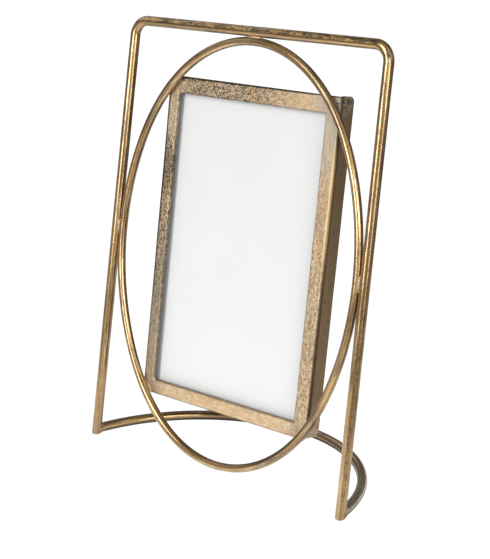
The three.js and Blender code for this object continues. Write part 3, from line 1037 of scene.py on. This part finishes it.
def bezel_edges(tree, colour, where):
    """Dark edges and painted light: painted shade on the crest of the top rail, on the folds and on the return,
    the dark rim of the left one, a painted highlight along the outer edge of the right one, and the outer seam.
    """
    x, _, z = parts(object_place(tree))
    _, inward, behind = parts(where)
    # Painted shade: the outer crest of the top rail is darkened
    crest = between(inward, -1.3 * MM, -0.6 * MM)
    top = times(between(z, TOP_RAIL - 2 * MM, TOP_RAIL), between(x, *CREST_FADE, 0.85, 0.0))
    colour = laid(colour, SOOT_AND_SHADE, crest, top)
    rim = between(inward, -2.3 * MM, -1.1 * MM)
    colour = laid(colour, SOOT_AND_SHADE, rim, left_rail(x), between(z, *RIM_HEIGHTS, 0.3, 0.9))
    # Painted shade on the folds, and darker painted shade on the return behind them
    colour = laid(colour, SOOT_AND_SHADE, between(behind, 0.03 * MM, 0.4 * MM), 0.5)
    colour = laid(colour, SHADE, between(behind, 0.9 * MM, 1.5 * MM), 0.9)
    # A painted highlight along the outer edge of the right rail
    rail_highlight = times(strip(z, RAIL_HIGHLIGHT_HEIGHTS, 0.7), between(x, *RAIL_HIGHLIGHT_FADE))
    rail_highlight = times(rail_highlight, between(inward, -2.0 * MM, -1.3 * MM))
    colour = laid(colour, RAIL_HIGHLIGHT_GOLD, rail_highlight)
    seam = between(inward, -0.9 * MM, -0.1 * MM, 0.0, 0.8)
    return laid(colour, SEAM_AND_EDGE_SHADE, seam, between(rail_highlight, 0.0, 0.7, 1.0, 0.65))


def bezel_metal(tree):
    where = mark(tree, "sheet_place")
    cloud = noise(where, (150, 260, 260), 0.42, 0.66, detail=5, rough=0.65)
    speck = noise(where, (1100, 1300, 1300), 0.53, 0.59, detail=3)
    grain = noise(where, (1800, 2400, 2400), 0.2, 0.8)
    colour = rail_wear(tree, speckled_sheet(tree, where, cloud, speck))
    colour = laid(colour, RUST, corner_mask(tree), 0.5)
    colour = corner_wear(tree, colour)
    colour = laid(colour, SOLDER, web(tree, 0.6))
    colour = bezel_edges(tree, colour, where)
    return colour, dulled(cloud, grain, 0.42, 0.62), pitted(grain, speck, 0.05 * MM, 0.35), SHEET


def wall_metal(tree):
    """Dull bronze with reddish and ash-grey clouds, a dark seam along the front edge and painted shade along the
    rear edge.
    """
    where = mark(tree, "sheet_place")
    tone = noise(where, (45, 120, 120), 0.40, 0.62)
    ash = noise(where, (70, 200, 200), 0.52, 0.68, detail=5, warp=0.5)
    fleck = noise(where, (420, 700, 700), 0.52, 0.68, detail=6, rough=0.65)
    speck = noise(where, (1100, 1300, 1300), 0.58, 0.70)
    grain = noise(where, (1500, 2400, 2400), 0.2, 0.8)
    colour = mixed(tone, GREY_BRONZE, RUST)
    colour = laid(colour, ASH, ash, 0.6)
    colour = laid(colour, UMBER, fleck, 0.5)
    colour = laid(colour, SOOT_AND_SHADE, speck, 0.6)
    colour = corner_wear(tree, colour)
    depth = parts(where)["Y"]
    deep = box_back - band_front
    # Painted shade along the rear edge, then the dark seam along the front edge
    colour = laid(colour, SEAM_AND_EDGE_SHADE, between(depth, deep - 1.3 * MM, deep - 0.3 * MM), 0.9)
    colour = laid(colour, SEAM_AND_EDGE_SHADE, between(depth, 0.3 * MM, 1.3 * MM, 1.0, 0.0), 0.9)
    colour = laid(colour, SOLDER, web(tree, 0.95))
    return colour, dulled(fleck, grain, 0.42, 0.68), pitted(grain, speck, 0.06 * MM, 0.4), SHEET


def lip_metal(tree):
    where = object_place(tree)
    tone = noise(where, (120, 120, 60), 0.40, 0.62)
    speck = noise(where, (1200, 1200, 1200), 0.58, 0.70)
    grain = noise(where, (2000, 2000, 2000), 0.2, 0.8)
    colour = laid(mixed(tone, GREY_BRONZE, RUST), SOOT_AND_SHADE, speck, 0.7)
    roughness = between(grain, 0.0, 1.0, 0.40, 0.65)
    return colour, roughness, pitted(grain, speck, 0.06 * MM, 0.4), {"Metallic": 0.85}


def braze_metal(tree):
    where = object_place(tree)
    tone = noise(where, (260, 260, 260), 0.40, 0.62)
    stain = noise(where, (520, 520, 520), 0.52, 0.68, detail=5, warp=0.6)
    grain = noise(where, (1800, 1800, 1800), 0.2, 0.8)
    colour = laid(mixed(tone, PALE_BRAZE, DARK_BRAZE), STONE, stain, 0.45)
    colour = laid(colour, RUST, corner_mask(tree), 0.8)
    colour = corner_wear(tree, colour)
    roughness = dulled(stain, grain, 0.40, 0.6)
    return colour, roughness, pitted(grain, stain, 0.05 * MM, 0.3), {"Metallic": 0.75}


# Materials of the picture stack
def paper(tree):
    where = object_place(tree)
    fibre = noise(where, (900, 900, 900), 0.3, 0.7, detail=5)
    cloud = noise(where, (25, 25, 25), 0.3, 0.7, detail=2)
    colour = mixed(cloud, PAPER_WHITE, PAPER_GREY)
    roughness = between(fibre, 0.0, 1.0, 0.72, 0.85)
    return colour, roughness, bump(fibre, 0.02 * MM, 0.15), BOARD


def hardboard(tree):
    where = object_place(tree)
    fibre = noise(where, (420, 900, 900), 0.35, 0.65, detail=6, rough=0.65, warp=0.8)
    cloud = noise(where, (40, 40, 40), 0.35, 0.65, detail=3)
    fleck = noise(where, (1400, 1400, 1400), 0.62, 0.70, detail=3)
    colour = laid(mixed(cloud, SLATE, DARK_SLATE), PALE_FIBRE, fibre, 0.35)
    colour = laid(colour, DARK_FLECK, fleck, 0.5)
    roughness = between(fibre, 0.0, 1.0, 0.72, 0.92)
    return colour, roughness, bump(fibre, 0.06 * MM, 0.35), BOARD


def glass():
    """Clear glass that lets light through to the card, with green in its edges and faint wipe marks."""
    made, tree, output = material("clear_glass")
    shape = add(tree, "ShaderNodeNewGeometry")
    flat = math_node("ABSOLUTE", vector_node("DOT_PRODUCT", shape.outputs["Normal"], REARWARD))
    edge = between(flat, 0.5, 0.95, 1.0, 0.0)
    smear = noise(object_place(tree), (18, 18, 60), 0.35, 0.7, detail=3)
    clear = add(tree, "ShaderNodeBsdfTransparent", Color=mixed(edge, CLEAR, GLASS_GREEN))
    gloss = add(tree, "ShaderNodeBsdfGlossy", Roughness=between(smear, 0, 1, 0.02, 0.06))
    share = add(tree, "ShaderNodeFresnel", IOR=GLASS_IOR).outputs["Fac"]
    outside = apart(shape.outputs["Backfacing"], 1)
    mixed_shaders(output, times(share, outside), clear, gloss)
    return made


# The pieces on their bodies
def paint(piece, finish):
    piece.data.materials.clear()
    piece.data.materials.append(finish)


def dress(piece, finish, body, slot, *nodes):
    paint(piece, finish)
    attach(piece, body)
    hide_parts(*nodes)


def dress_node(node, finish, edge):
    """A CAD node that stays, with a fine rounding on its edges."""
    piece = frame["nodes"][node]
    paint(piece, finish)
    rounding = piece.modifiers.new("edge", "BEVEL")
    rounding.width = edge
    rounding.segments = 2
    rounding.limit_method = "ANGLE"
    rounding.angle_limit = math.radians(BEVEL_ANGLE)
    rounding.harden_normals = True


def build_pieces():
    hoop = rod("hoop_rod", hoop_path(), hoop_radius, REARWARD, floor_ends=True)
    ring = rod("ring_rod", ring_path(), ring_radius, REARWARD, close=True)
    bow = rod("bow_rod", bow_path(), hoop_radius, Vector((0, 0, 1)))
    dress(hoop, surface("striped_aged_gold", hoop_metal), "frame", "aged_gold_rod", "stand_hoop")
    dress(ring, surface("aged_gold", rod_metal), "frame", "aged_gold_rod", "oval_ring")
    dress(bow, surface("dark_aged_gold", bow_metal), "frame", "aged_gold_rod", "base_arc")
    dress(bezel(), surface("champagne_sheet", bezel_metal), "frame", "champagne_sheet", "bezel_plate")
    dress(band(), surface("dark_bronze_sheet", wall_metal), "frame", "dark_bronze_sheet", "side_band")
    braze = surface("braze", braze_metal)
    for piece, node in beads():
        dress(piece, braze, "frame", "braze", node)
    lips = surface("dark_bronze_lips", lip_metal)
    for side in ("left", "right", "bottom"):
        dress_node("rear_lip_" + side, lips, LIP_EDGE)
    dress_node("glass_pane", glass(), GLASS_EDGE)
    dress_node("photo_card", surface("white_card", paper), CARD_EDGE)
    dress_node("back_panel", surface("hardboard", hardboard), PANEL_EDGE)


# The stage
def floor_paint():
    """White to the eye; to the light it glows: a bright pool near the frame, brighter in front, on a duller table,
    with a painted shadow along the bow.
    """
    made, tree, output = material("white_ground")
    where = object_place(tree)
    near = between(vector_node("DISTANCE", where, (0, 0, 0)), 0.15, 0.50, 0.75, 0.0)
    front = vector_node("DOT_PRODUCT", where, FLOOR_FRONT)
    table = between(front, -0.3, 0.6, 0.18, 0.46)
    ahead = between(front, -0.04, 0.08, 0.72, 1.25)
    glow = math_node("ADD", times(near, ahead), table)
    off_bow = apart(vector_node("DISTANCE", where, BOW_CENTRE), BOW_RADIUS)
    shade = between(off_bow, 1 * MM, 12 * MM, 0.18, 1.0)
    before_feet = between(parts(where)["Y"], FEET.y - 3 * MM, FEET.y + 9 * MM, 1.0, 0.0)
    glow = times(glow, math_node("MAXIMUM", shade, before_feet))
    seen = add(tree, "ShaderNodeLightPath").outputs["Is Camera Ray"]
    strength = math_node("MAXIMUM", glow, times(seen, BACKDROP_WHITE))
    light = add(tree, "ShaderNodeEmission", Color=(*WHITE, 1), Strength=strength)
    feed(output.inputs["Surface"], light.outputs[0])
    return made


def softbox(name, azimuth, elevation, distance, size, power, colour):
    lamp = bpy.data.lights.new(name, "AREA")
    lamp.shape = "RECTANGLE"
    lamp.size, lamp.size_y = size
    lamp.energy = power
    lamp.color = colour
    holder = bpy.data.objects.new(name, lamp)
    a, e = math.radians(azimuth), math.radians(elevation)
    way = Vector((math.sin(a) * math.cos(e), -math.cos(a) * math.cos(e), math.sin(e)))
    holder.location = LAMP_TARGET + way * distance
    holder.rotation_euler = way.to_track_quat("Z", "Y").to_euler()
    scene.collection.objects.link(holder)


def build_stage():
    mesh = bpy.data.meshes.new("floor")
    corners = [(x * FLOOR_HALF, y * FLOOR_HALF, 0) for x, y in ((-1, -1), (1, -1), (1, 1), (-1, 1))]
    mesh.from_pydata(corners, [], [(0, 1, 2, 3)])
    mesh.materials.append(floor_paint())
    floor = bpy.data.objects.new("floor", mesh)
    scene.collection.objects.link(floor)
    for name, settings in LAMPS.items():
        softbox(name, *settings)
    build_world()


def build_world():
    """White to the eye; to the light it is a room with a lighter half."""
    world = bpy.data.worlds.new("studio")
    world.use_nodes = True
    tree = world.node_tree
    tree.nodes.clear()
    output = tree.nodes.new("ShaderNodeOutputWorld")
    ray = add(tree, "ShaderNodeTexCoord").outputs["Generated"]
    front = vector_node("DOT_PRODUCT", ray, ROOM_FRONT)
    room = mixed(between(front, -0.5, 0.7), ROOM_DARK, ROOM_LIGHT)
    seen = add(tree, "ShaderNodeBackground", Color=(*WHITE, 1), Strength=BACKDROP_WHITE)
    lit = add(tree, "ShaderNodeBackground", Color=room, Strength=1.0)
    mixed_shaders(output, add(tree, "ShaderNodeLightPath").outputs["Is Camera Ray"], lit, seen)
    scene.world = world
    scene.view_settings.view_transform = "Standard"


def build_camera():
    yaw, pitch, roll = (math.radians(a) for a in (CAMERA_YAW, CAMERA_PITCH, CAMERA_ROLL))
    view = Vector((-math.sin(yaw) * math.cos(pitch), math.cos(yaw) * math.cos(pitch), -math.sin(pitch)))
    level = Vector((math.cos(yaw), math.sin(yaw), 0))
    rise = level.cross(view)
    right = math.cos(roll) * level + math.sin(roll) * rise
    up = math.cos(roll) * rise - math.sin(roll) * level
    lens = bpy.data.cameras.new("camera")
    lens.sensor_width = SENSOR_WIDTH
    lens.lens = FOCAL_PIXELS / LONG_SIDE_PIXELS * SENSOR_WIDTH
    lens.clip_start = CLIP_START
    camera = bpy.data.objects.new("camera", lens)
    spot = CAMERA_TARGET + CAMERA_SLIDE[0] * right + CAMERA_SLIDE[1] * up - CAMERA_DISTANCE * view
    turn = Matrix((right, up, -view)).transposed().to_4x4()
    camera.matrix_world = Matrix.Translation(spot) @ turn
    scene.collection.objects.link(camera)
    scene.camera = camera


build_camera()
build_pieces()
build_stage()
